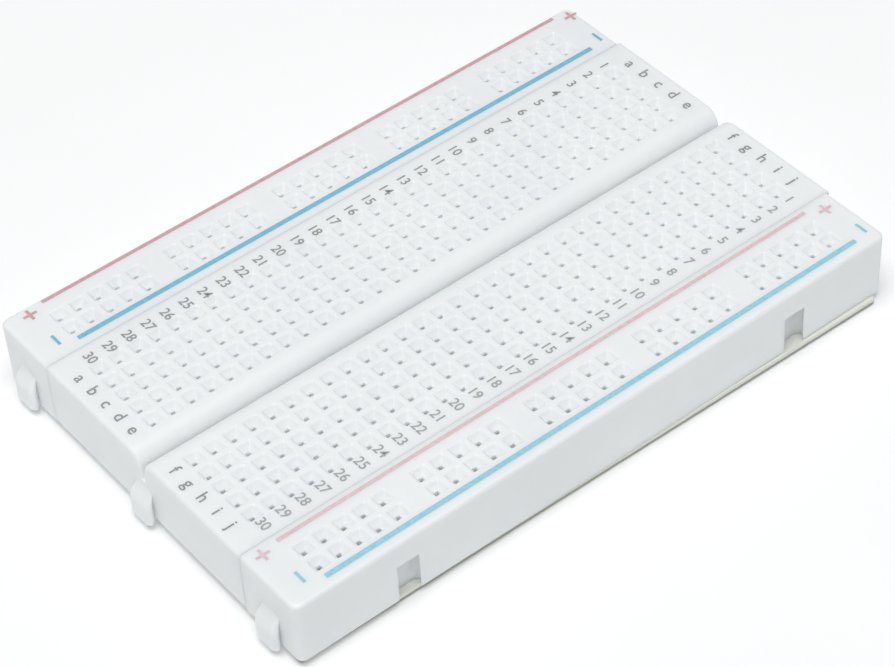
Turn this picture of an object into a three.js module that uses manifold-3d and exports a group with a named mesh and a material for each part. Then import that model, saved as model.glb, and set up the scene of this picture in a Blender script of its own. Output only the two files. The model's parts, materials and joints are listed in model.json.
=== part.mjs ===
// A half-size solderless breadboard: a terminal strip between two power rails, keyed together
// by dovetail tabs. Sprung metal clips sit in pockets under the holes, and a foam sheet with a
// paper release liner closes the pockets from below.
//
// Millimetres, +Z up. X runs along the 30 columns, with column 1 at +X and column 30 at -X.
// Row a and the rear power rail are at +Y, row j and the front power rail at -Y. The origin is
// the middle of the underside, below the centre of the hole grid.

import * as THREE from "three";
import { mergeVertices } from "three/addons/utils/BufferGeometryUtils.js";
import Module from "manifold-3d";

const wasm = await Module();
wasm.setup();

// ---- hole grid ----
const PITCH = 2.54;
const COLUMNS = 30;
const ROWS_PER_CLIP = 5;
const INNER_ROW_Y = 1.5 * PITCH; // rows e and f
const RAIL_CENTRE_Y = 22.46; // midway between the two rows of a power rail
const RAIL_ROW_OFFSET = PITCH / 2;
const RAIL_GROUPS = 5;
const HOLES_PER_GROUP = 5;
const GROUP_PITCH = 6 * PITCH;
const HOLE_SIZE = 1.0;

// ---- outside ----
const LENGTH = 82.5;
const WIDTH = 54.5;
const HOUSING_HEIGHT = 8.5;
const FOAM_THICKNESS = 0.88;
const LINER_THICKNESS = 0.12;
const STRIP_HALF_WIDTH = 17.75;
const SEAM_GAP = 0.1;
const RAIL_SETBACK = 0.4; // the power rails stop this far short of the terminal strip at +X
const CORNER_RADIUS = 0.7;
const CORNER_STEPS = 3;

// ---- foam and liner, cut together and stuck on slightly askew ----
const SHEET_LENGTH = 80.4;
const SHEET_WIDTH = 54.0;
const SHEET_X = -0.4;
const SHEET_Y = -0.2;
const SHEET_TURN = THREE.MathUtils.degToRad(-0.8);

// ---- ravine ----
const RAVINE_HALF_WIDTH = 0.85;
const RAVINE_FLOOR_HALF_WIDTH = 0.35;
const RAVINE_DEPTH = 3.5; // down to the tops of the tabs
const SHOULDER_WIDTH = 0.9;
const SHOULDER_DROP = 0.9;
const SHOULDER_STEPS = 4;

// ---- dovetails: tabs face +Y and -X, slots face -Y and +X ----
const DOVETAIL_X = 27.1; // the two on each long side
const TAB_NECK = 2.55;
const TAB_HEAD = 4.0;
const TAB_REACH = 1.2;
const TAB_RIM = 0.2; // straight part of the head's flanks
const TAB_HEIGHT = 5.0;
const SLOT_CLEARANCE = 0.15;
const SLOT_HEIGHT = 5.2;

// ---- clip pockets, open at the bottom ----
const PLATE_THICKNESS = 1.8; // housing top above the pockets
const POCKET_HALF_WIDTH = 1.0;
const POCKET_END_MARGIN = 1.05; // beyond the centre of the last hole
const RIB_RELIEF_DEPTH = 0.5; // shallow channel under the ravine
const RIB_RELIEF_HALF_WIDTH = 3.0;

// ---- clips: a sheet-metal channel whose walls lean in to a pinch line and flare above it ----
const SHEET_METAL = 0.22;
const CLIP_BASE_HALF = 0.85;
const PINCH_HALF = 0.08;
const PINCH_HEIGHT = 4.4;
const MOUTH_HALF = 0.45;
const CLIP_HEIGHT = 6.0;
const CLIP_END_MARGIN = 0.85;
const CLIP_LIFT = 0.15; // clear of the foam
const WEB_WIDTH = 1.0; // carrier web that joins the two clips of one column
const WEB_THICKNESS = 0.14;
const WEB_HALF_LENGTH = 3.3;

// ---- worked out from the above ----
const HOUSING_BOTTOM = LINER_THICKNESS + FOAM_THICKNESS;
const HOUSING_TOP = HOUSING_BOTTOM + HOUSING_HEIGHT;
const POCKET_TOP = HOUSING_TOP - PLATE_THICKNESS;
const CLIP_BOTTOM = HOUSING_BOTTOM + CLIP_LIFT;
const LEFT = -LENGTH / 2;
const RIGHT = LENGTH / 2;
const OUTER_ROW_Y = INNER_ROW_Y + (ROWS_PER_CLIP - 1) * PITCH;
const LAST_COLUMN_X = ((COLUMNS - 1) / 2) * PITCH;
const LAST_RAIL_HOLE_X = ((RAIL_GROUPS - 1) / 2) * GROUP_PITCH + ((HOLES_PER_GROUP - 1) / 2) * PITCH;
const OVERCUT = 1.0; // cutters run this far past the face they open

const PLASTIC_LOOK = { color: 0xeef0ef, roughness: 0.42, metalness: 0.0 };
const METAL_LOOK = { color: 0xb9bbb8, roughness: 0.3, metalness: 1.0 };
const FOAM_LOOK = { color: 0xe9e3cf, roughness: 0.95, metalness: 0.0 };
const LINER_LOOK = { color: 0xf3eedc, roughness: 0.6, metalness: 0.0 };

const board = new THREE.Group();

// ---- solids ----

function toSolid(geometry) {
  const bare = geometry.clone();
  bare.deleteAttribute("normal");
  bare.deleteAttribute("uv");
  const merged = mergeVertices(bare, 1e-4);
  return new wasm.Manifold(new wasm.Mesh({
    numProp: 3,
    vertProperties: new Float32Array(merged.attributes.position.array),
    triVerts: new Uint32Array(merged.index.array),
  }));
}

function toGeometry(solid) {
  const mesh = solid.getMesh();
  const geometry = new THREE.BufferGeometry();
  geometry.setAttribute("position", new THREE.BufferAttribute(new Float32Array(mesh.vertProperties), 3));
  geometry.setIndex(new THREE.BufferAttribute(new Uint32Array(mesh.triVerts), 1));
  geometry.computeVertexNormals();
  return geometry;
}

function joined(solids) {
  return solids.reduce((sum, solid) => sum.add(solid));
}

/** A block between two corners. */
function block(x0, x1, y0, y1, z0, z1) {
  const geometry = new THREE.BoxGeometry(x1 - x0, y1 - y0, z1 - z0);
  geometry.translate((x0 + x1) / 2, (y0 + y1) / 2, (z0 + z1) / 2);
  return toSolid(geometry);
}

/** An outline in X and Y, raised from z0 to z1. */
function upright(shape, z0, z1, steps = 1) {
  const settings = { depth: z1 - z0, bevelEnabled: false, curveSegments: steps };
  const geometry = new THREE.ExtrudeGeometry(shape, settings);
  geometry.translate(0, 0, z0);
  return geometry;
}

/** An outline whose own axes point along across and up, swept from start to end along their normal. */
function swept(shape, across, up, start, end) {
  const settings = { depth: end - start, bevelEnabled: false, curveSegments: SHOULDER_STEPS };
  const geometry = new THREE.ExtrudeGeometry(shape, settings);
  geometry.translate(0, 0, start);
  const along = new THREE.Vector3().crossVectors(across, up);
  geometry.applyMatrix4(new THREE.Matrix4().makeBasis(across, up, along));
  return geometry;
}

function outline(points) {
  return new THREE.Shape(points.map(([u, v]) => new THREE.Vector2(u, v)));
}

function roundedRectangle(x0, x1, y0, y1, r) {
  const shape = new THREE.Shape();
  shape.moveTo(x0 + r, y0);
  shape.lineTo(x1 - r, y0);
  shape.absarc(x1 - r, y0 + r, r, -Math.PI / 2, 0);
  shape.lineTo(x1, y1 - r);
  shape.absarc(x1 - r, y1 - r, r, 0, Math.PI / 2);
  shape.lineTo(x0 + r, y1);
  shape.absarc(x0 + r, y1 - r, r, Math.PI / 2, Math.PI);
  shape.lineTo(x0, y0 + r);
  shape.absarc(x0 + r, y0 + r, r, Math.PI, 1.5 * Math.PI);
  return shape;
}

// ---- housings ----

/**
 * A dovetail on the wall at (x, y), pointing along `out`, a unit vector in X and Y. Its root
 * starts inside the wall. grow widens it on every side, for the slot that receives the tab.
 */
function dovetail(x, y, out, grow, z0, z1) {
  const side = [-out[1], out[0]];
  const neck = TAB_NECK / 2 + grow;
  const head = TAB_HEAD / 2 + grow;
  const reach = TAB_REACH + grow;
  const profile = [
    [-OVERCUT, -neck], [0, -neck], [reach - TAB_RIM, -head], [reach, -head],
    [reach, head], [reach - TAB_RIM, head], [0, neck], [-OVERCUT, neck],
  ];
  const points = profile.map(([u, v]) => [x + u * out[0] + v * side[0], y + u * out[1] + v * side[1]]);
  return toSolid(upright(outline(points), z0, z1));
}

/** Blank housing: rounded outline, tabs on the +Y and -X walls, slots in the -Y and +X walls. */
function keyedHousing(x1, y0, y1) {
  const body = toSolid(upright(
    roundedRectangle(LEFT, x1, y0, y1, CORNER_RADIUS), HOUSING_BOTTOM, HOUSING_TOP, CORNER_STEPS,
  ));
  const middle = (y0 + y1) / 2;
  const tabTop = HOUSING_BOTTOM + TAB_HEIGHT;
  const slotTop = HOUSING_BOTTOM + SLOT_HEIGHT;
  const below = HOUSING_BOTTOM - OVERCUT;
  const tab = (x, y, out) => dovetail(x, y, out, 0, HOUSING_BOTTOM, tabTop);
  const slot = (x, y, inward) => dovetail(x, y, inward, SLOT_CLEARANCE, below, slotTop);
  const tabs = [tab(-DOVETAIL_X, y1, [0, 1]), tab(DOVETAIL_X, y1, [0, 1]), tab(LEFT, middle, [-1, 0])];
  const slots = [slot(-DOVETAIL_X, y0, [0, 1]), slot(DOVETAIL_X, y0, [0, 1]), slot(x1, middle, [-1, 0])];
  return joined([body, ...tabs]).subtract(joined(slots));
}

function squareHole(x, y) {
  const half = HOLE_SIZE / 2;
  return block(x - half, x + half, y - half, y + half, POCKET_TOP - OVERCUT, HOUSING_TOP + OVERCUT);
}

function pocket(x0, x1, y0, y1) {
  return block(x0, x1, y0, y1, HOUSING_BOTTOM - OVERCUT, POCKET_TOP);
}

function columnX(column) {
  return LAST_COLUMN_X - (column - 1) * PITCH;
}

function railHoleXs() {
  const xs = [];
  for (let group = 0; group < RAIL_GROUPS; group += 1) {
    const centre = (group - (RAIL_GROUPS - 1) / 2) * GROUP_PITCH;
    for (let hole = 0; hole < HOLES_PER_GROUP; hole += 1) {
      xs.push(centre + (hole - (HOLES_PER_GROUP - 1) / 2) * PITCH);
    }
  }
  return xs;
}

/** The tapered channel between rows e and f, with rounded shoulders, through both ends. */
function ravine() {
  const w = RAVINE_HALF_WIDTH;
  const shape = new THREE.Shape();
  const shoulder = HOUSING_TOP - SHOULDER_DROP;
  shape.moveTo(-RAVINE_FLOOR_HALF_WIDTH, HOUSING_TOP - RAVINE_DEPTH);
  shape.lineTo(RAVINE_FLOOR_HALF_WIDTH, HOUSING_TOP - RAVINE_DEPTH);
  shape.lineTo(w, shoulder);
  shape.absellipse(w + SHOULDER_WIDTH, shoulder, SHOULDER_WIDTH, SHOULDER_DROP, Math.PI, Math.PI / 2, true);
  shape.lineTo(w + SHOULDER_WIDTH, HOUSING_TOP + OVERCUT);
  shape.lineTo(-w - SHOULDER_WIDTH, HOUSING_TOP + OVERCUT);
  shape.lineTo(-w - SHOULDER_WIDTH, HOUSING_TOP);
  shape.absellipse(-w - SHOULDER_WIDTH, shoulder, SHOULDER_WIDTH, SHOULDER_DROP, Math.PI / 2, 0, true);
  const yAxis = new THREE.Vector3(0, 1, 0);
  const zAxis = new THREE.Vector3(0, 0, 1);
  return toSolid(swept(shape, yAxis, zAxis, LEFT - OVERCUT, RIGHT + OVERCUT));
}

function terminalStrip() {
  const cutters = [ravine()];
  const reliefX = LAST_COLUMN_X + POCKET_HALF_WIDTH;
  const reliefTop = HOUSING_BOTTOM + RIB_RELIEF_DEPTH;
  cutters.push(block(
    -reliefX, reliefX, -RIB_RELIEF_HALF_WIDTH, RIB_RELIEF_HALF_WIDTH, HOUSING_BOTTOM - OVERCUT, reliefTop,
  ));
  const near = INNER_ROW_Y - POCKET_END_MARGIN;
  const far = OUTER_ROW_Y + POCKET_END_MARGIN;
  for (let column = 1; column <= COLUMNS; column += 1) {
    const x = columnX(column);
    cutters.push(pocket(x - POCKET_HALF_WIDTH, x + POCKET_HALF_WIDTH, near, far));
    cutters.push(pocket(x - POCKET_HALF_WIDTH, x + POCKET_HALF_WIDTH, -far, -near));
    for (let row = 0; row < ROWS_PER_CLIP; row += 1) {
      const y = INNER_ROW_Y + row * PITCH;
      cutters.push(squareHole(x, y), squareHole(x, -y));
    }
  }
  return keyedHousing(RIGHT, -STRIP_HALF_WIDTH, STRIP_HALF_WIDTH).subtract(joined(cutters));
}

/** side is +1 for the rear power rail and -1 for the front one. */
function powerRail(side) {
  const inner = side * (STRIP_HALF_WIDTH + SEAM_GAP);
  const outer = side * (WIDTH / 2);
  const cutters = [];
  const end = LAST_RAIL_HOLE_X + POCKET_END_MARGIN;
  for (const offset of [-RAIL_ROW_OFFSET, RAIL_ROW_OFFSET]) {
    const y = side * RAIL_CENTRE_Y + offset;
    cutters.push(pocket(-end, end, y - POCKET_HALF_WIDTH, y + POCKET_HALF_WIDTH));
    for (const x of railHoleXs()) {
      cutters.push(squareHole(x, y));
    }
  }
  const blank = keyedHousing(RIGHT - RAIL_SETBACK, Math.min(inner, outer), Math.max(inner, outer));
  return blank.subtract(joined(cutters));
}

// ---- clips ----

function clipSection() {
  const right = [
    [CLIP_BASE_HALF, 0],
    [PINCH_HALF + SHEET_METAL, PINCH_HEIGHT],
    [MOUTH_HALF + SHEET_METAL, CLIP_HEIGHT],
    [MOUTH_HALF, CLIP_HEIGHT],
    [PINCH_HALF, PINCH_HEIGHT],
    [CLIP_BASE_HALF - SHEET_METAL, SHEET_METAL],
  ];
  const left = right.map(([u, v]) => [-u, v]).reverse();
  return outline([...right, ...left]);
}

/** The clips of one column, rows a to e and f to j, on the thin web they are stamped with. */
function columnClips() {
  const xAxis = new THREE.Vector3(1, 0, 0);
  const zAxis = new THREE.Vector3(0, 0, 1);
  const near = INNER_ROW_Y - CLIP_END_MARGIN;
  const far = OUTER_ROW_Y + CLIP_END_MARGIN;
  const webLift = (SHEET_METAL - WEB_THICKNESS) / 2;
  return joined([
    toSolid(swept(clipSection(), xAxis, zAxis, -far, -near)),
    toSolid(swept(clipSection(), xAxis, zAxis, near, far)),
    block(-WEB_WIDTH / 2, WEB_WIDTH / 2, -WEB_HALF_LENGTH, WEB_HALF_LENGTH, webLift, webLift + WEB_THICKNESS),
  ]);
}

function busClip() {
  const yAxis = new THREE.Vector3(0, 1, 0);
  const zAxis = new THREE.Vector3(0, 0, 1);
  const end = LAST_RAIL_HOLE_X + CLIP_END_MARGIN;
  return swept(clipSection(), yAxis, zAxis, -end, end);
}

// ---- assembly ----

function addPart(name, geometry, look, parent = board) {
  const mesh = new THREE.Mesh(geometry, new THREE.MeshStandardMaterial(look));
  mesh.name = name;
  parent.add(mesh);
  return mesh;
}

addPart("terminal_strip_housing", toGeometry(terminalStrip()), PLASTIC_LOOK);
addPart("rear_power_rail_housing", toGeometry(powerRail(1)), PLASTIC_LOOK);
addPart("front_power_rail_housing", toGeometry(powerRail(-1)), PLASTIC_LOOK);

const clipGeometry = toGeometry(columnClips());
for (let column = 1; column <= COLUMNS; column += 1) {
  const name = `contact_clips_col_${String(column).padStart(2, "0")}`;
  addPart(name, clipGeometry, METAL_LOOK).position.set(columnX(column), 0, CLIP_BOTTOM);
}

const busGeometry = busClip();
for (const [end, side] of [["rear", 1], ["front", -1]]) {
  for (const [place, offset] of [["outer", side], ["inner", -side]]) {
    const y = side * RAIL_CENTRE_Y + offset * RAIL_ROW_OFFSET;
    addPart(`${end}_${place}_bus_clip`, busGeometry, METAL_LOOK).position.set(0, y, CLIP_BOTTOM);
  }
}

const backing = new THREE.Group();
backing.position.set(SHEET_X, SHEET_Y, 0);
backing.rotation.z = SHEET_TURN;
board.add(backing);
const foam = new THREE.BoxGeometry(SHEET_LENGTH, SHEET_WIDTH, FOAM_THICKNESS);
foam.translate(0, 0, LINER_THICKNESS + FOAM_THICKNESS / 2);
addPart("adhesive_foam_sheet", foam, FOAM_LOOK, backing);
const liner = new THREE.BoxGeometry(SHEET_LENGTH, SHEET_WIDTH, LINER_THICKNESS);
liner.translate(0, 0, LINER_THICKNESS / 2);
addPart("release_liner", liner, LINER_LOOK, backing);

export default board;
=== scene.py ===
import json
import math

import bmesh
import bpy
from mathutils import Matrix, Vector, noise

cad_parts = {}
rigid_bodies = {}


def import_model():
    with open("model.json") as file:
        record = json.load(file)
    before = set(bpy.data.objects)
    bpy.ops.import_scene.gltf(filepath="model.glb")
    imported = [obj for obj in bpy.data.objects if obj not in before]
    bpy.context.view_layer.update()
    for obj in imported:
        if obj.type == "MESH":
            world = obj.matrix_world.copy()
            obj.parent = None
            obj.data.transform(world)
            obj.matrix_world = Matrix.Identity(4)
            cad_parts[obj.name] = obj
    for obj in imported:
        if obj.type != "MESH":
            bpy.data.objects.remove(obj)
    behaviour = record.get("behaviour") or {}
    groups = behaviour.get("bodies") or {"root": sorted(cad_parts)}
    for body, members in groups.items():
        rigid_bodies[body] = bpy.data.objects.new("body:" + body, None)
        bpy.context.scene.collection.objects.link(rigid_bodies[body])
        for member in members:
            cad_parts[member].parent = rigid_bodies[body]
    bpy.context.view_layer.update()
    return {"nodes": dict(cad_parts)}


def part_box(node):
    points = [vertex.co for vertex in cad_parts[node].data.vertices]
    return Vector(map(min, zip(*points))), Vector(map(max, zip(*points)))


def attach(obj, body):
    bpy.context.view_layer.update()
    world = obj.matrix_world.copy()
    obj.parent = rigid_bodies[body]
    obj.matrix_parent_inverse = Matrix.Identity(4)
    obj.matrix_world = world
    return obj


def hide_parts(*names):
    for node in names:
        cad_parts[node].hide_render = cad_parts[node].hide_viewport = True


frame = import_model()

# A half-size solderless breadboard: moulded housings with funnelled holes, slit spring clips
# under them, printed stripes, numbers and letters, a foam backing and its paper liner.
#
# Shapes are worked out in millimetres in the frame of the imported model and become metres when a
# piece is made. X runs along the 30 columns with column 1 at +X, the rear power rail and row a
# are at +Y, the front power rail and row j at -Y, and Z is up.

MM = 0.001

STRIP = "terminal_strip"
REAR = "rear_rail"
FRONT = "front_rail_and_foam"
LINER = "liner"

# ---- hole grid ----
PITCH = 2.54
COLUMNS = 30
ROWS = 5  # on each side of the ravine
INNER_ROW_Y = 1.5 * PITCH
RAIL_GROUPS = 5
GROUP_PITCH = 6 * PITCH
GROUP_REACH = 2  # holes on each side of a group's middle
RAIL_ROW_OFFSET = PITCH / 2
RAIL_ROWS_SHIFT = 0.09  # a rail's rows lie this much nearer the ravine than its middle

# ---- funnel of one hole: half widths, and depths below the top ----
THROAT_HALF = 0.28
MOUTH_HALF = 0.92
FUNNEL_DEPTH = 1.02
THROAT_ROUNDING = 0.12
MOUTH_ROUNDING = 0.5
LIP_OVERRUN = 0.3  # the cutter goes on rising gently this far beyond the mouth
LIP_RISE = 0.06
MOUTH_SINK = LIP_RISE / 3  # the mouth's edge below the top
FUNNEL_STEPS = 3
HOLE_CORNER = 0.28  # corner radius as a share of the half width
HOLE_CORNER_STEPS = 3

# ---- housings ----
SEAM_GAP = 0.008
PLATE_THICKNESS = 1.8  # plastic above the clip pockets
END_ROUNDING = 0.45
SEAM_ROUNDING = 0.02
BOTTOM_ROUNDING = 0.15
CORNER_ROUNDING = 0.9
RAVINE_HALF_WIDTH = 0.28
RAVINE_FLOOR_HALF_WIDTH = 0.25
RAVINE_DEPTH = 3.5
SHOULDER_ROUNDING = 2.0
RAVINE_FLOOR_ROUNDING = 0.15
SEAM_SHARE = 0.04  # how much of an end's rounding reaches the seams
BOTTOM_SHARE = 0.9  # and the underside
POCKET_HALF_WIDTH = 1.0
POCKET_END_MARGIN = 1.05
POCKET_ROUNDING = 0.2
RIB_RELIEF_DEPTH = 0.5
RIB_RELIEF_HALF_WIDTH = 3.0

# ---- dovetails: tabs face +Y and -X, slots face -Y and +X ----
DOVETAIL_X = 27.1
TAB_REACH = 1.2
TAB_NECK = 2.55
TAB_HEAD = 4.0
TAB_HEIGHT = 5.0
TAB_CHEEK = 0.5  # how far behind its face the tab is widest
TAB_FACE_CORNER = 0.75  # and how much narrower it is at the face
TAB_FACE_ROUNDING = 0.8
TAB_CHEEK_ROUNDING = 0.32
TAB_NECK_ROUNDING = 0.12
TAB_SLOPE_HEIGHT = 2.8  # the tab grows out of the wall over this height
TAB_SLOPE_STEPS = 10
TAB_TOP_SINK = 0.03  # how far inside the wall its face ends at the top
TAB_TOP_WIDTH = 0.75  # share of its width there
SLOT_CLEARANCE = 0.15
SLOT_HEIGHT = 5.2
ROOT = 1.0  # tab or slot cutter carried on past the wall

# ---- spring clips ----
SHEET_METAL = 0.2
CLIP_LIFT = 0.15
CLIP_BASE_HALF = 0.75
CLIP_BEND_ROUNDING = 0.3
CHANNEL_HEIGHT = 1.5  # walls below the slits
PINCH_HALF = 0.12
PINCH_HEIGHT = 4.4
CLIP_MOUTH_HALF = 0.55
CLIP_HEIGHT = 6.0
CLIP_END_MARGIN = 0.85
LEAF_STEPS = 12
LEAF_EASE = 1.5  # how late the leaves close in
BEND_DEGREES = (0, 30, 60)
SLIT_WIDTH = 0.5
SLIT_REACH = 2.0  # the slits' cutter passes both leaves
SLIT_FLAT = 0.02  # flat stretch left between the slit's two bottom corners

# ---- printing ----
INK_THICKNESS = 0.02
INK_SINK = 0.005
INK_CORNERS = 6  # a bar's width over the radius of its corners
RED_STRIPE_WIDTH = 0.48
BLUE_STRIPE_WIDTH = 0.65
SIGN_LENGTH = 1.75
SIGN_WIDTH = 0.36
NUMBER_HEIGHT = 1.25
LETTER_HEIGHT = 1.5
GLYPH_BOLDNESS = 0.012  # outward offset of the outlines, as a share of the height
GLYPH_STEPS = 3
FONT_SIZE = 1.4  # of the built-in font, for capitals of height 1
GLYPH_WELD = 1e-4
NUMBER_Y = {"rear": 15.8, "front": -15.95}
LETTER_X = 39.37
STRIPE_ENDS = {  # x where it starts, x where it ends, y
    "rear_red": (-36.0, 38.05, 26.65),
    "rear_blue": (-36.1, 37.85, 19.25),
    "front_red": (-37.1, 36.6, -18.7),
    "front_blue": (-36.2, 37.6, -25.72),
}
SIGN_PLACES = {  # at the left end and at the right end
    "rear_plus": ((-38.1, 25.8), (40.0, 25.6)),
    "rear_minus": ((-38.1, 20.6), (39.75, 20.4)),
    "front_plus": ((-39.3, -19.3), (38.7, -19.8)),
    "front_minus": ((-38.2, -24.1), (39.5, -24.7)),
}
INK_SHADES = {  # where the ink is thin and where it is full
    "red_ink": ((0.70, 0.42, 0.46), (0.64, 0.33, 0.38)),
    "faded_red_ink": ((0.80, 0.62, 0.65), (0.76, 0.52, 0.56)),
    "blue_ink": ((0.24, 0.55, 0.72), (0.17, 0.50, 0.69)),
    "faded_blue_ink": ((0.37, 0.68, 0.79), (0.29, 0.62, 0.76)),
    "grey_ink": ((0.36, 0.36, 0.36), (0.29, 0.29, 0.295)),
    "faded_grey_ink": ((0.44, 0.44, 0.44), (0.37, 0.37, 0.375)),
}

# ---- foam and liner ----
SHEET_CORNER = 0.4
FOAM_STEP = 0.7  # spacing of the points along its cut edge
FOAM_LAYERS = 7
FOAM_RAGGED = 0.05  # depth of the torn cells
FOAM_TUCK = 0.06  # how far its top and bottom edges are drawn in
FOAM_CELL = 0.6
FOAM_CELL_SQUASH = 2  # a cell's width over its height
LINER_SETBACK = 0.7  # the liner's edge behind the foam's
LINER_ROUNDING = 1 / 3  # of its edges, as a share of its thickness
PAINTED_SHADE_FULL = (0.26, 0.58)  # heights between which the foam's cut edge carries the full painted shade, a dark band standing for the contact shadow under it
PAINTED_SHADE_FADES = (0.2, 0.68)  # and where the painted shade has faded out again
PAINTED_SHADE_WAVER = 0.1  # how much those heights wander

# ---- camera: degrees, and distances in millimetres ----
CAMERA_TURN = (-36.1, 44.82, -3.86)  # azimuth, elevation, roll
CAMERA_TARGET = (-4.98, -6.29, -0.85)  # the height counts from the top face
CAMERA_DISTANCE = 313.6
FOCAL_LENGTH = 116.14
SENSOR_WIDTH = 36
CLIP_START = 0.01  # in metres

# ---- stage: floor in millimetres, light in metres and watts ----
FLOOR_REACH = 1500
FLOOR_LEVELS = (-20, -0.01)  # the top is a hair below the liner
FLOOR_GLOW_COLOUR = (0.98, 1.0, 1.0, 1)
FLOOR_GLOW = 0.12
SURROUND_COLOUR = (0.93, 0.985, 1.0, 1)
SURROUND_STRENGTH = 0.28
LIGHT_TOWARDS = (-0.17, -0.13, 1)
LIGHT_DISTANCE = 0.9
LIGHT_SIZE = 0.7
LIGHT_POWER = 6.35

SHARP_ANGLE = math.radians(35)
ARC_STEPS = 5
OVERCUT = 0.6  # cutters run this far past the face they open
NOISE_SPAN = (0.3, 0.7)  # where most of a noise's values lie


def box_mm(node):
    low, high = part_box(node)
    return low / MM, high / MM


strip_low, strip_high = box_mm("terminal_strip_housing")
rear_low, rear_high = box_mm("rear_power_rail_housing")
front_low, _ = box_mm("front_power_rail_housing")
foam_low, foam_high = box_mm("adhesive_foam_sheet")

TOP = strip_high.z
BOTTOM = strip_low.z
LEFT = strip_low.x + TAB_REACH
RIGHT = strip_high.x
RAIL_RIGHT = rear_high.x
BOARD_REAR = rear_high.y - TAB_REACH
BOARD_FRONT = front_low.y
SEAM_Y = (rear_low.y - strip_low.y) / 2
RAIL_CENTRE_Y = (rear_low.y + BOARD_REAR) / 2 - RAIL_ROWS_SHIFT
OUTER_ROW_Y = INNER_ROW_Y + (ROWS - 1) * PITCH
LAST_COLUMN_X = (COLUMNS - 1) / 2 * PITCH
LAST_RAIL_X = (RAIL_GROUPS - 1) / 2 * GROUP_PITCH + GROUP_REACH * PITCH
CLIP_BOTTOM = BOTTOM + CLIP_LIFT


# ---- camera ----

def add_camera():
    """Looks down at the near left corner, at the reference viewing angle."""
    azimuth, elevation, roll = (math.radians(angle) for angle in CAMERA_TURN)
    back = Vector((
        math.sin(azimuth) * math.cos(elevation),
        -math.cos(azimuth) * math.cos(elevation),
        math.sin(elevation),
    ))
    level = (-back).cross(Vector((0, 0, 1))).normalized()
    upward = level.cross(-back)
    right = math.cos(roll) * level + math.sin(roll) * upward
    up = -math.sin(roll) * level + math.cos(roll) * upward
    place = Vector((0, 0, TOP)) + Vector(CAMERA_TARGET) + back * CAMERA_DISTANCE
    data = bpy.data.cameras.new("camera")
    data.lens = FOCAL_LENGTH
    data.sensor_width = SENSOR_WIDTH
    data.clip_start = CLIP_START
    camera = bpy.data.objects.new("camera", data)
    turn = Matrix((right, up, back)).transposed().to_4x4()
    camera.matrix_world = Matrix.Translation(place * MM) @ turn
    bpy.context.scene.collection.objects.link(camera)
    bpy.context.scene.camera = camera


# ---- outlines: lists of 2-D points, counter-clockwise ----

def rounded(corners, radii, steps=ARC_STEPS):
    """The outline with each corner replaced by an arc of its radius."""
    points = []
    for k, corner in enumerate(corners):
        if radii[k] == 0:
            points.append(corner)
            continue
        before = (corners[k - 1] - corner).normalized()
        after = (corners[(k + 1) % len(corners)] - corner).normalized()
        half = before.angle(after) / 2
        centre = corner + (before + after).normalized() * radii[k] / math.sin(half)
        arm = corner + before * radii[k] / math.tan(half) - centre
        turn = -math.copysign(math.pi - 2 * half, before.cross(after))
        points += [centre + Matrix.Rotation(turn * s / steps, 2) @ arm for s in range(steps + 1)]
    return points


def inset(corners, distances):
    """The corners with each edge moved inwards by its distance. Edge k leaves corner k."""
    moved = []
    for k, corner in enumerate(corners):
        arriving = (corner - corners[k - 1]).normalized()
        leaving = (corners[(k + 1) % len(corners)] - corner).normalized()
        a = Vector((-arriving.y, arriving.x))
        b = Vector((-leaving.y, leaving.x))
        p, q = distances[k - 1], distances[k]
        shift = Vector((p * b.y - q * a.y, q * a.x - p * b.x)) / a.cross(b)
        moved.append(corner + shift)
    return moved


def rectangle(x0, x1, y0, y1):
    return [Vector(p) for p in ((x0, y0), (x1, y0), (x1, y1), (x0, y1))]


# ---- solids: lists of rings of 3-D points, closed by a cap at each end ----

def along_x(u, v, w):
    return Vector((w, u, v))


def along_y(u, v, w):
    return Vector((u, w, v))


def along_z(u, v, w):
    return Vector((u, v, w))


def rounded_levels(start, end, start_rounding, end_rounding):
    """Heights from start to end, each with how far a rounded end is drawn in there."""
    quarter = [math.pi / 2 * s / ARC_STEPS for s in range(ARC_STEPS + 1)]
    levels = []
    for at, rounding, way in ((start, start_rounding, 1), (end, end_rounding, -1)):
        angles = quarter if rounding else [math.pi / 2]
        rise = [at + way * rounding * (1 - math.cos(t)) for t in angles]
        draw = [rounding * (1 - math.sin(t)) for t in angles]
        levels += list(zip(rise, draw))[::way]
    return levels


def sweep(corners, radii, place, start, end, start_rounding=0, end_rounding=0, shares=None):
    """An outline swept from start to end, its ends rounded over. shares says how much of the
    rounding each edge takes."""
    shares = shares or [1] * len(corners)
    rings = []
    for height, depth in rounded_levels(start, end, start_rounding, end_rounding):
        outline = rounded(inset(corners, [depth * share for share in shares]), radii)
        rings.append([place(p.x, p.y, height) for p in outline])
    return rings


def block(x0, x1, y0, y1, z0, z1, rounding=0):
    return sweep(rectangle(x0, x1, y0, y1), [rounding] * 4, along_z, z0, z1)


def closed_mesh(name, solids):
    """One mesh of all the solids, smooth, with outward normals."""
    bm = bmesh.new()
    for rings in solids:
        rows = [[bm.verts.new(p) for p in ring] for ring in rings]
        for low, high in zip(rows, rows[1:]):
            for k in range(len(low)):
                bm.faces.new((low[k - 1], low[k], high[k], high[k - 1]))
        bm.faces.new(rows[0][::-1])
        bm.faces.new(rows[-1])
    bmesh.ops.recalc_face_normals(bm, faces=bm.faces)
    for face in bm.faces:
        face.smooth = True
    mesh = bpy.data.meshes.new(name)
    bm.to_mesh(mesh)
    bm.free()
    return mesh


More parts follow.
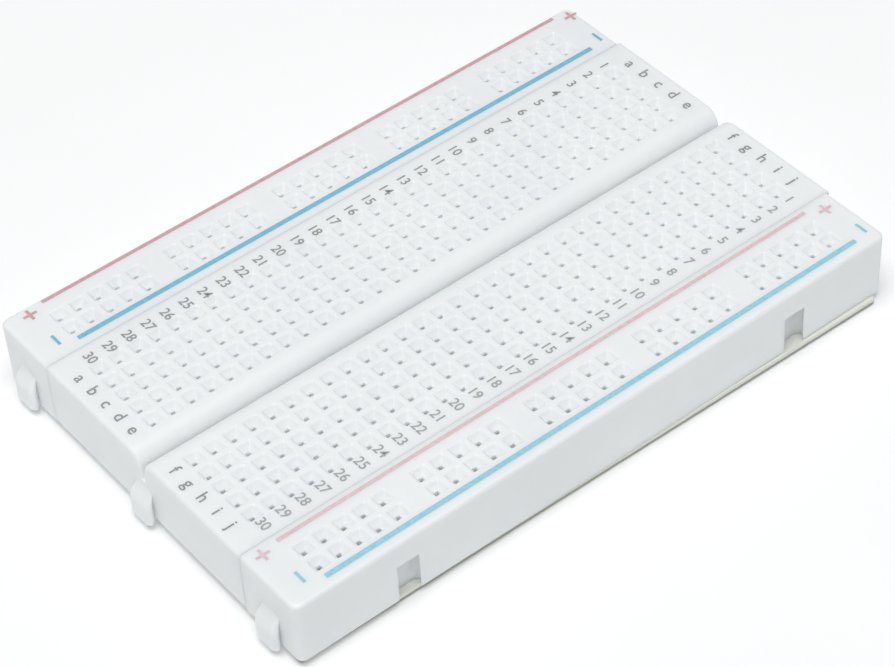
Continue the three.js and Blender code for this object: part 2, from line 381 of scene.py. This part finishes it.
def carved(name, blank, steps):
    """The blank with each step's solids joined ("UNION") or cut away ("DIFFERENCE") in turn."""
    scene = bpy.context.scene.collection.objects
    body = bpy.data.objects.new(name, closed_mesh(name, blank))
    scene.link(body)
    tools = []
    for operation, solids in steps:
        tool = bpy.data.objects.new(name + "_tool", closed_mesh(name + "_tool", solids))
        scene.link(tool)
        tools.append(tool)
        modifier = body.modifiers.new(operation.lower(), "BOOLEAN")
        modifier.operation = operation
        modifier.solver = "MANIFOLD"
        modifier.object = tool
    seen = body.evaluated_get(bpy.context.evaluated_depsgraph_get())
    mesh = bpy.data.meshes.new_from_object(seen)
    mesh.name = name
    for used in [body, *tools]:
        bpy.data.meshes.remove(used.data)
    return mesh


# ---- pieces ----

def crisp(mesh):
    """Marks the real edges as sharp, so that only the rounded stretches are shaded smooth."""
    for polygon in mesh.polygons:
        polygon.use_smooth = True
    mesh.set_sharp_from_angle(angle=SHARP_ANGLE)


def add_piece(name, mesh, material, body, replaces=(), place=(0, 0, 0)):
    """Puts a finished mesh, in metres, on its body. place is in millimetres."""
    mesh.materials.clear()
    mesh.materials.append(material)
    piece = bpy.data.objects.new(name, mesh)
    piece.location = Vector(place) * MM
    bpy.context.scene.collection.objects.link(piece)
    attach(piece, body)
    if replaces:
        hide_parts(*replaces)
    return piece


def in_metres(mesh):
    """The finished mesh, brought from millimetres to metres."""
    mesh.transform(Matrix.Scale(MM, 4))
    crisp(mesh)
    return mesh


def even_normals(piece):
    """Large faces keep their own normal, and the roundings take up the turn between them."""
    modifier = piece.modifiers.new("even_normals", "WEIGHTED_NORMAL")
    modifier.keep_sharp = True


# ---- housings ----

def column_x(column):
    return LAST_COLUMN_X - (column - 1) * PITCH


def rail_hole_xs():
    groups = [(g - (RAIL_GROUPS - 1) / 2) * GROUP_PITCH for g in range(RAIL_GROUPS)]
    holes = range(-GROUP_REACH, GROUP_REACH + 1)
    return [centre + k * PITCH for centre in groups for k in holes]


def rail_row_ys(side):
    return [side * RAIL_CENTRE_Y + offset for offset in (-RAIL_ROW_OFFSET, RAIL_ROW_OFFSET)]


def funnel_profile():
    """Half width and height of a hole's wall, from the pocket below up to just over the top."""
    corners = [
        Vector((THROAT_HALF, -PLATE_THICKNESS - OVERCUT / 2)),
        Vector((THROAT_HALF, -FUNNEL_DEPTH)),
        Vector((MOUTH_HALF, -MOUTH_SINK)),
        Vector((MOUTH_HALF + LIP_OVERRUN, LIP_RISE)),
        Vector((0, LIP_RISE)),
    ]
    radii = [0, THROAT_ROUNDING, MOUTH_ROUNDING, 0, 0]
    return rounded(corners, radii, FUNNEL_STEPS)[:-1]


FUNNEL = funnel_profile()


def hole(x, y):
    """Cutter for a square hole with a rounded lip and a funnel that narrows to its throat."""
    rings = []
    for half, height in FUNNEL:
        radii = [half * HOLE_CORNER] * 4
        outline = rounded(rectangle(-half, half, -half, half), radii, HOLE_CORNER_STEPS)
        rings.append([Vector((x + p.x, y + p.y, TOP + height)) for p in outline])
    return rings


def pocket(x0, x1, y0, y1):
    return block(x0, x1, y0, y1, BOTTOM - OVERCUT, TOP - PLATE_THICKNESS, POCKET_ROUNDING)


def dovetail(x, y, out, grow, top, slope_height):
    """A dovetail on the wall at (x, y), pointing along out. grow makes it the slot's cutter.
    Over slope_height its face leans back to the wall in an S-shaped curve."""
    neck, head, reach = TAB_NECK / 2 + grow, TAB_HEAD / 2 + grow, TAB_REACH + grow
    cheek = (reach - TAB_CHEEK, head)
    upper = [(reach, head - TAB_FACE_CORNER), cheek, (0, neck), (-ROOT, neck)]
    profile = [Vector((u, -v)) for u, v in reversed(upper)] + [Vector(p) for p in upper]
    radii = [0, TAB_NECK_ROUNDING, TAB_CHEEK_ROUNDING, TAB_FACE_ROUNDING]
    outline = rounded(profile, radii + radii[::-1])
    levels = [(BOTTOM - OVERCUT if grow else BOTTOM, 0), (top, 0)]
    if slope_height:
        shares = [step / TAB_SLOPE_STEPS for step in range(TAB_SLOPE_STEPS + 1)]
        slope = [(top - slope_height * (1 - s), (1 - math.cos(math.pi * s)) / 2) for s in shares]
        levels = levels[:1] + slope
    rings = []
    for height, lean in levels:
        forward = 1 - lean * (reach + TAB_TOP_SINK) / (reach + ROOT)
        sideways = 1 - lean * (1 - TAB_TOP_WIDTH)
        ring = []
        for p in outline:
            u, v = (p.x + ROOT) * forward - ROOT, p.y * sideways
            ring.append(along_z(x + u * out[0] - v * out[1], y + u * out[1] + v * out[0], height))
        rings.append(ring)
    return rings


def tabs_and_slots(x1, y0, y1):
    middle = (y0 + y1) / 2
    tab_top, slot_top = BOTTOM + TAB_HEIGHT, BOTTOM + SLOT_HEIGHT
    tab_places = [(-DOVETAIL_X, y1, (0, 1)), (DOVETAIL_X, y1, (0, 1)), (LEFT, middle, (-1, 0))]
    slot_places = [(-DOVETAIL_X, y0, (0, 1)), (DOVETAIL_X, y0, (0, 1)), (x1, middle, (-1, 0))]
    tabs = [dovetail(*place, 0, tab_top, TAB_SLOPE_HEIGHT) for place in tab_places]
    slots = [dovetail(*place, SLOT_CLEARANCE, slot_top, 0) for place in slot_places]
    return [("UNION", tabs), ("DIFFERENCE", slots)]


def terminal_strip():
    half, floor = SEAM_Y - SEAM_GAP / 2, TOP - RAVINE_DEPTH
    ravine = [(RAVINE_HALF_WIDTH, TOP), (RAVINE_FLOOR_HALF_WIDTH, floor)]
    right = [(half, BOTTOM), (half, TOP), *ravine]
    corners = [Vector(p) for p in right] + [Vector((-y, z)) for y, z in reversed(right)]
    radii = [BOTTOM_ROUNDING, SEAM_ROUNDING, SHOULDER_ROUNDING, RAVINE_FLOOR_ROUNDING]
    shares = [SEAM_SHARE, 1, 1, 1, 1, 1, SEAM_SHARE, BOTTOM_SHARE]
    ends = (LEFT, RIGHT, END_ROUNDING, END_ROUNDING)
    blank = sweep(corners, radii + radii[::-1], along_x, *ends, shares)
    pockets, holes = [], []
    near, far = INNER_ROW_Y - POCKET_END_MARGIN, OUTER_ROW_Y + POCKET_END_MARGIN
    for column in range(1, COLUMNS + 1):
        x = column_x(column)
        for y0, y1 in ((near, far), (-far, -near)):
            pockets.append(pocket(x - POCKET_HALF_WIDTH, x + POCKET_HALF_WIDTH, y0, y1))
        for row in range(ROWS):
            y = INNER_ROW_Y + row * PITCH
            holes += [hole(x, y), hole(x, -y)]
    end = LAST_COLUMN_X + POCKET_HALF_WIDTH
    half = RIB_RELIEF_HALF_WIDTH
    relief = block(-end, end, -half, half, BOTTOM - OVERCUT / 2, BOTTOM + RIB_RELIEF_DEPTH)
    cuts = [("DIFFERENCE", pockets), ("DIFFERENCE", [relief]), ("DIFFERENCE", holes)]
    steps = tabs_and_slots(RIGHT, -SEAM_Y + SEAM_GAP / 2, SEAM_Y - SEAM_GAP / 2) + cuts
    return carved("terminal_strip_moulding", [blank], steps)


def power_rail(side):
    """side is 1 for the rear rail and -1 for the front one."""
    inner = side * (SEAM_Y + SEAM_GAP / 2)
    outer = BOARD_REAR if side > 0 else BOARD_FRONT
    y0, y1 = min(inner, outer), max(inner, outer)
    seam_first = side > 0
    seam, free = [SEAM_ROUNDING] * 2, [CORNER_ROUNDING] * 2
    radii = seam + free if seam_first else free + seam
    shares = [SEAM_SHARE, 1, 1, 1] if seam_first else [1, 1, SEAM_SHARE, 1]
    outline = rectangle(LEFT, RAIL_RIGHT, y0, y1)
    blank = sweep(outline, radii, along_z, BOTTOM, TOP, BOTTOM_ROUNDING, END_ROUNDING, shares)
    pockets, holes = [], []
    end = LAST_RAIL_X + POCKET_END_MARGIN
    for y in rail_row_ys(side):
        pockets.append(pocket(-end, end, y - POCKET_HALF_WIDTH, y + POCKET_HALF_WIDTH))
        holes += [hole(x, y) for x in rail_hole_xs()]
    steps = tabs_and_slots(RAIL_RIGHT, y0, y1) + [("DIFFERENCE", pockets), ("DIFFERENCE", holes)]
    name = "rear_rail_moulding" if side > 0 else "front_rail_moulding"
    return carved(name, [blank], steps)


# ---- spring clips ----

def leaf_line():
    """Middle of one leaf, from the channel's bend up to the flared lip, as (half gap, height)."""
    line = []
    base = SHEET_METAL + CLIP_BEND_ROUNDING
    for s in range(LEAF_STEPS + 1):
        height = base + (CLIP_HEIGHT - base) * s / LEAF_STEPS
        if height <= PINCH_HEIGHT:
            share = (height - base) / (PINCH_HEIGHT - base)
            closed = share ** LEAF_EASE * (1 + LEAF_EASE - LEAF_EASE * share)
            half = CLIP_BASE_HALF + (PINCH_HALF - CLIP_BASE_HALF) * closed
        else:
            share = (height - PINCH_HEIGHT) / (CLIP_HEIGHT - PINCH_HEIGHT)
            half = PINCH_HALF + (CLIP_MOUTH_HALF - PINCH_HALF) * share ** 2
        line.append(Vector((half, height)))
    return line


def clip_section():
    """The folded strip's section: down one leaf, round the channel's base and up the other."""
    half = SHEET_METAL / 2
    right = leaf_line()
    bend = [
        Vector((CLIP_BASE_HALF - CLIP_BEND_ROUNDING * (1 - math.sin(t)),
                half + CLIP_BEND_ROUNDING * (1 - math.cos(t))))
        for t in (math.radians(angle) for angle in BEND_DEGREES)
    ]
    middle = bend + right
    middle = [Vector((-p.x, p.y)) for p in reversed(middle)] + middle
    outside, inside = [], []
    for k, point in enumerate(middle):
        before, after = middle[max(k - 1, 0)], middle[min(k + 1, len(middle) - 1)]
        along = (after - before).normalized()
        across = Vector((along.y, -along.x)) * half
        outside.append(point + across)
        inside.append(point - across)
    return outside + inside[::-1]


def slit(y0, y1):
    """Cutter for the gap between two leaf pairs, round at the bottom and open at the top."""
    radius = (SLIT_WIDTH - SLIT_FLAT) / 2
    corners = rectangle(y0, y1, CHANNEL_HEIGHT, CLIP_HEIGHT + OVERCUT)
    return sweep(corners, [radius, radius, 0, 0], along_x, -SLIT_REACH, SLIT_REACH)


def slit_clip(name, leaf_ys, turned=False):
    """A clip with a leaf pair at each of leaf_ys, along Y, or along X if turned."""
    section = clip_section()
    ends = (leaf_ys[0] - CLIP_END_MARGIN, leaf_ys[-1] + CLIP_END_MARGIN)
    strip = sweep(section, [0] * len(section), along_y, *ends, shares=[0] * len(section))
    leaf_half = (PITCH - SLIT_WIDTH) / 2
    slits = [slit(a + leaf_half, b - leaf_half) for a, b in zip(leaf_ys, leaf_ys[1:])]
    mesh = carved(name, [strip], [("DIFFERENCE", slits)])
    if turned:
        mesh.transform(Matrix.Rotation(-math.pi / 2, 4, "Z"))
    return in_metres(mesh)


# ---- printing ----

def ink_levels():
    return TOP - INK_SINK, TOP + INK_THICKNESS - INK_SINK


def printed_bar(x0, x1, y0, y1, width):
    corners = rectangle(x0, x1, y0, y1)
    return sweep(corners, [width / INK_CORNERS] * 4, along_z, *ink_levels())


def stripe(x0, x1, y, width):
    return printed_bar(x0, x1, y - width / 2, y + width / 2, width)


def minus(x, y):
    arm, half = SIGN_LENGTH / 2, SIGN_WIDTH / 2
    return printed_bar(x - half, x + half, y - arm, y + arm, SIGN_WIDTH)


def plus(x, y):
    arm, half = SIGN_LENGTH / 2, SIGN_WIDTH / 2
    quarter = [Vector((arm, half)), Vector((half, half)), Vector((half, arm))]
    turns = [Matrix.Rotation(k * math.pi / 2, 2) for k in range(4)]
    corners = [turn @ p + Vector((x, y)) for turn in turns for p in quarter]
    return sweep(corners, [0] * len(corners), along_z, *ink_levels())


def print_shapes(name, solids, material, body):
    add_piece(name, in_metres(closed_mesh(name, solids)), material, body)


def glyphs(text, height):
    """A closed mesh of the text, centred, its capitals about height tall."""
    curve = bpy.data.curves.new("glyphs", "FONT")
    curve.body = text
    curve.size = height * FONT_SIZE
    curve.align_x = "CENTER"
    curve.align_y = "CENTER"
    curve.extrude = INK_THICKNESS / 2
    curve.offset = GLYPH_BOLDNESS * height
    curve.resolution_u = GLYPH_STEPS
    holder = bpy.data.objects.new("glyphs", curve)
    bpy.context.scene.collection.objects.link(holder)
    seen = holder.evaluated_get(bpy.context.evaluated_depsgraph_get())
    mesh = bpy.data.meshes.new_from_object(seen)
    bpy.data.curves.remove(curve)
    return mesh


def lettering(name, marks, height, material, body):
    """marks are (text, x, y). Letters stand towards +X and read towards -Y."""
    bm = bmesh.new()
    level = sum(ink_levels()) / 2
    for text, x, y in marks:
        mesh = glyphs(text, height)
        mesh.transform(Matrix.Translation((x, y, level)) @ Matrix.Rotation(-math.pi / 2, 4, "Z"))
        bm.from_mesh(mesh)
        bpy.data.meshes.remove(mesh)
    bmesh.ops.remove_doubles(bm, verts=bm.verts, dist=GLYPH_WELD)
    mesh = bpy.data.meshes.new(name)
    bm.to_mesh(mesh)
    bm.free()
    add_piece(name, in_metres(mesh), material, body)


# ---- foam and liner ----

def node_corners(node):
    """The plan corners of a box-shaped CAD node, counter-clockwise, in millimetres."""
    vertices = frame["nodes"][node].data.vertices
    spots = {(round(v.co.x / MM, 3), round(v.co.y / MM, 3)) for v in vertices}
    corners = [Vector(spot) for spot in spots]
    centre = sum(corners, Vector((0, 0))) / len(corners)
    return sorted(corners, key=lambda p: math.atan2(p.y - centre.y, p.x - centre.x))


def foam_sheet():
    """A die-cut foam sheet, its cut edge slightly ragged from the torn cells."""
    edge = rounded(node_corners("adhesive_foam_sheet"), [SHEET_CORNER] * 4)
    points = []
    for a, b in zip(edge, edge[1:] + edge[:1]):
        count = max(1, round((b - a).length / FOAM_STEP))
        points += [a.lerp(b, s / count) for s in range(count)]
    centre = sum(points, Vector((0, 0))) / len(points)
    rings = []
    for layer in range(FOAM_LAYERS):
        share = layer / (FOAM_LAYERS - 1)
        height = foam_low.z + (foam_high.z - foam_low.z) * share
        ring = []
        for p in points:
            spot = Vector((p.x, p.y, height * FOAM_CELL_SQUASH)) / FOAM_CELL
            torn = 0.5 + 0.5 * noise.noise(spot)
            tucked = FOAM_RAGGED * torn + FOAM_TUCK * (2 * share - 1) ** 4
            ring.append(along_z(*(p + (centre - p).normalized() * tucked), height))
        rings.append(ring)
    return closed_mesh("foam", [rings])


def liner_sheet():
    low, high = box_mm("release_liner")
    rounding = (high.z - low.z) * LINER_ROUNDING
    corners = inset(node_corners("release_liner"), [LINER_SETBACK] * 4)
    solid = sweep(corners, [SHEET_CORNER] * 4, along_z, low.z, high.z, rounding, rounding)
    return closed_mesh("liner", [solid])


# ---- materials ----

class Finish:
    """A Principled material whose textures sit in object space. values are its constant sockets."""

    def __init__(self, name, **values):
        self.material = bpy.data.materials.new(name)
        self.material.use_nodes = True
        self.tree = self.material.node_tree
        self.shader = self.tree.nodes["Principled BSDF"]
        self.place = self.tree.nodes.new("ShaderNodeTexCoord").outputs["Object"]
        for socket, value in values.items():
            self.shader.inputs[socket.replace("_", " ")].default_value = value

    def texture(self, kind, size, stretch=(1, 1, 1)):
        mapping = self.tree.nodes.new("ShaderNodeMapping")
        mapping.inputs["Scale"].default_value = [1 / (MM * size * s) for s in stretch]
        texture = self.tree.nodes.new(kind)
        texture.inputs["Scale"].default_value = 1
        self.tree.links.new(self.place, mapping.inputs["Vector"])
        self.tree.links.new(mapping.outputs["Vector"], texture.inputs["Vector"])
        return texture

    def noise(self, size, detail=3.0, stretch=(1, 1, 1)):
        """Noise whose blotches are about size millimetres across."""
        texture = self.texture("ShaderNodeTexNoise", size, stretch)
        texture.inputs["Detail"].default_value = detail
        return texture.outputs["Fac"]

    def cells(self, size):
        """Round cells about size millimetres across, lowest in their middles."""
        return self.texture("ShaderNodeTexVoronoi", size).outputs["Distance"]

    def height(self, source, waver):
        """Height in millimetres, plus waver times the source."""
        parts = self.tree.nodes.new("ShaderNodeSeparateXYZ")
        self.tree.links.new(self.place, parts.inputs["Vector"])
        scaled = self.tree.nodes.new("ShaderNodeMath")
        scaled.operation = "DIVIDE"
        scaled.inputs[1].default_value = MM
        self.tree.links.new(parts.outputs["Z"], scaled.inputs[0])
        total = self.tree.nodes.new("ShaderNodeMath")
        total.operation = "MULTIPLY_ADD"
        total.inputs[1].default_value = waver
        self.tree.links.new(source, total.inputs[0])
        self.tree.links.new(scaled.outputs["Value"], total.inputs[2])
        return total.outputs["Value"]

    def colour(self, source, low, high, spread=(0.35, 0.65)):
        """Fades from low to high where the source is within spread."""
        ramp = self.tree.nodes.new("ShaderNodeValToRGB")
        for element, at, value in zip(ramp.color_ramp.elements, spread, (low, high)):
            element.position = at
            element.color = (*value, 1)
        self.tree.links.new(source, ramp.inputs["Fac"])
        self.tree.links.new(ramp.outputs["Color"], self.shader.inputs["Base Color"])
        return ramp.color_ramp

    def roughness(self, source, low, high):
        """Goes from low to high with the source, which is a noise."""
        span = self.tree.nodes.new("ShaderNodeMapRange")
        span.inputs["From Min"].default_value = NOISE_SPAN[0]
        span.inputs["From Max"].default_value = NOISE_SPAN[1]
        span.inputs["To Min"].default_value = low
        span.inputs["To Max"].default_value = high
        self.tree.links.new(source, span.inputs["Value"])
        self.tree.links.new(span.outputs["Result"], self.shader.inputs["Roughness"])

    def bump(self, source, height, strength=1.0):
        """height is the relief in millimetres."""
        bump = self.tree.nodes.new("ShaderNodeBump")
        bump.inputs["Strength"].default_value = strength
        bump.inputs["Distance"].default_value = height * MM
        self.tree.links.new(source, bump.inputs["Height"])
        self.tree.links.new(bump.outputs["Normal"], self.shader.inputs["Normal"])


def housing_plastic():
    """White, slightly translucent ABS."""
    finish = Finish(
        "housing_plastic",
        Subsurface_Weight=0.45,
        Subsurface_Scale=1.0 * MM,
        Subsurface_Radius=(1.0, 1.0, 0.9),
        IOR=1.5,
    )
    finish.colour(finish.noise(14), (0.88, 0.90, 0.912), (0.915, 0.93, 0.94))
    finish.roughness(finish.noise(2.5), 0.38, 0.5)
    finish.bump(finish.noise(0.22, detail=4), 0.006, 0.5)
    return finish.material


def contact_metal():
    """Nickel plating with fine drawn lines."""
    finish = Finish("contact_metal", Metallic=1.0)
    finish.colour(finish.noise(1.2), (0.52, 0.51, 0.48), (0.70, 0.69, 0.66))
    finish.roughness(finish.noise(0.25, stretch=(1, 12, 1)), 0.24, 0.42)
    finish.bump(finish.noise(0.08, stretch=(1, 20, 1)), 0.002, 0.5)
    return finish.material


def foam_material():
    """Off-white, with painted shade: a dark band along the lower half of the cut edge stands for
    the contact shadow beneath it.
    """
    finish = Finish("foam", IOR=1.4)
    # painted shade: the lower half of the cut edge is coloured dark to stand for the contact shadow
    # beneath the foam
    plain_foam, painted_shade = (0.87, 0.87, 0.81), (0.40, 0.40, 0.37)
    height = finish.height(finish.noise(0.5), PAINTED_SHADE_WAVER)
    ramp = finish.colour(height, plain_foam, plain_foam, PAINTED_SHADE_FADES)
    for at in PAINTED_SHADE_FULL:
        ramp.elements.new(at).color = (*painted_shade, 1)
    finish.roughness(finish.noise(0.3), 0.85, 0.98)
    finish.bump(finish.cells(0.16), 0.05)
    return finish.material


def liner_paper():
    finish = Finish("liner_paper", IOR=1.45)
    finish.colour(finish.noise(6), (0.86, 0.86, 0.80), (0.90, 0.90, 0.85))
    finish.roughness(finish.noise(1.5), 0.42, 0.58)
    finish.bump(finish.noise(0.12, detail=5, stretch=(1, 3, 1)), 0.006)
    return finish.material


def ink(name, thin, full):
    """Screen-printed ink, a little thinner in places."""
    finish = Finish(name)
    finish.colour(finish.noise(0.5), thin, full)
    finish.roughness(finish.noise(0.8), 0.44, 0.56)
    finish.bump(finish.noise(0.1), 0.003, 0.5)
    return finish.material


def studio_floor():
    finish = Finish(
        "studio_floor",
        Roughness=0.9,
        Specular_IOR_Level=0.1,
        Emission_Color=FLOOR_GLOW_COLOUR,
        Emission_Strength=FLOOR_GLOW,
    )
    finish.colour(finish.noise(60), (0.89, 0.89, 0.89), (0.91, 0.91, 0.91))
    return finish.material


# ---- stage ----

def add_stage():
    """A pale table, an even pale surround and one large soft light overhead."""
    slab = block(-FLOOR_REACH, FLOOR_REACH, -FLOOR_REACH, FLOOR_REACH, *FLOOR_LEVELS)
    mesh = in_metres(closed_mesh("floor", [slab]))
    mesh.materials.append(studio_floor())
    floor = bpy.data.objects.new("floor", mesh)
    bpy.context.scene.collection.objects.link(floor)
    world = bpy.data.worlds.new("surround")
    world.use_nodes = True
    background = world.node_tree.nodes["Background"]
    background.inputs["Color"].default_value = SURROUND_COLOUR
    background.inputs["Strength"].default_value = SURROUND_STRENGTH
    bpy.context.scene.world = world
    data = bpy.data.lights.new("overhead", "AREA")
    data.shape = "DISK"
    data.size = LIGHT_SIZE
    data.energy = LIGHT_POWER
    light = bpy.data.objects.new("overhead", data)
    towards = Vector(LIGHT_TOWARDS).normalized()
    light.location = towards * LIGHT_DISTANCE
    light.rotation_euler = towards.to_track_quat("Z", "Y").to_euler()
    bpy.context.scene.collection.objects.link(light)
    bpy.context.scene.view_settings.view_transform = "Standard"


# ---- assembly ----

def add_housings(plastic):
    made = (
        ("terminal_strip_shell", terminal_strip(), STRIP, "terminal_strip_housing"),
        ("rear_rail_shell", power_rail(1), REAR, "rear_power_rail_housing"),
        ("front_rail_shell", power_rail(-1), FRONT, "front_power_rail_housing"),
    )
    for name, mesh, body, node in made:
        piece = add_piece(name, in_metres(mesh), plastic, body, [node])
        even_normals(piece)


def add_clips(metal):
    row_ys = [INNER_ROW_Y + row * PITCH for row in range(ROWS)]
    middle = sum(row_ys) / ROWS
    mesh = slit_clip("column_clip", [y - middle for y in row_ys])
    for column in range(1, COLUMNS + 1):
        for rows, y in (("ae", middle), ("fj", -middle)):
            name = f"clip_col_{column:02d}_{rows}"
            place = (column_x(column), y, CLIP_BOTTOM)
            node = f"contact_clips_col_{column:02d}"
            add_piece(name, mesh, metal, STRIP, [node], place)
    mesh = slit_clip("bus_clip", rail_hole_xs(), turned=True)
    for end, side, body in (("rear", 1, REAR), ("front", -1, FRONT)):
        inner, outer = sorted(rail_row_ys(side), key=abs)
        for place, y in (("inner", inner), ("outer", outer)):
            name, node = f"{end}_{place}_bus", f"{end}_{place}_bus_clip"
            add_piece(name, mesh, metal, body, [node], (0, y, CLIP_BOTTOM))


def add_printing():
    inks = [ink(name, *shades) for name, shades in INK_SHADES.items()]
    red, faded_red, blue, faded_blue, grey, faded_grey = inks
    rails = (("rear", REAR, red, blue), ("front", FRONT, faded_red, faded_blue))
    for end, body, warm, cool in rails:
        for colour, width, shade in (
            ("red", RED_STRIPE_WIDTH, warm),
            ("blue", BLUE_STRIPE_WIDTH, cool),
        ):
            name = f"{end}_{colour}"
            print_shapes(f"{name}_stripe", [stripe(*STRIPE_ENDS[name], width)], shade, body)
    for end, body, warm, cool in rails:
        for sign, draw, shade in (("plus", plus, warm), ("minus", minus, cool)):
            name = f"{end}_{sign}"
            solids = [draw(x, y) for x, y in SIGN_PLACES[name]]
            print_shapes(f"{name}_signs", solids, shade, body)
    for (end, y), shade in zip(NUMBER_Y.items(), (grey, faded_grey)):
        marks = [(str(column), column_x(column), y) for column in range(1, COLUMNS + 1)]
        lettering(f"{end}_column_numbers", marks, NUMBER_HEIGHT, shade, STRIP)
    row_ys = [OUTER_ROW_Y - row * PITCH for row in range(ROWS)]
    rows = list(zip("abcde", row_ys)) + list(zip("fghij", (-y for y in reversed(row_ys))))
    for end, x in (("left", -LETTER_X), ("right", LETTER_X)):
        marks = [(letter, x, y) for letter, y in rows]
        lettering(f"{end}_row_letters", marks, LETTER_HEIGHT, grey, STRIP)


def add_backing():
    mesh = in_metres(foam_sheet())
    nodes = ["adhesive_foam_sheet"]
    foam = add_piece("foam_backing", mesh, foam_material(), FRONT, nodes)
    mesh = in_metres(liner_sheet())
    nodes = ["release_liner"]
    add_piece("backing_liner", mesh, liner_paper(), LINER, nodes)


add_camera()
add_stage()
add_housings(housing_plastic())
add_clips(contact_metal())
add_printing()
add_backing()
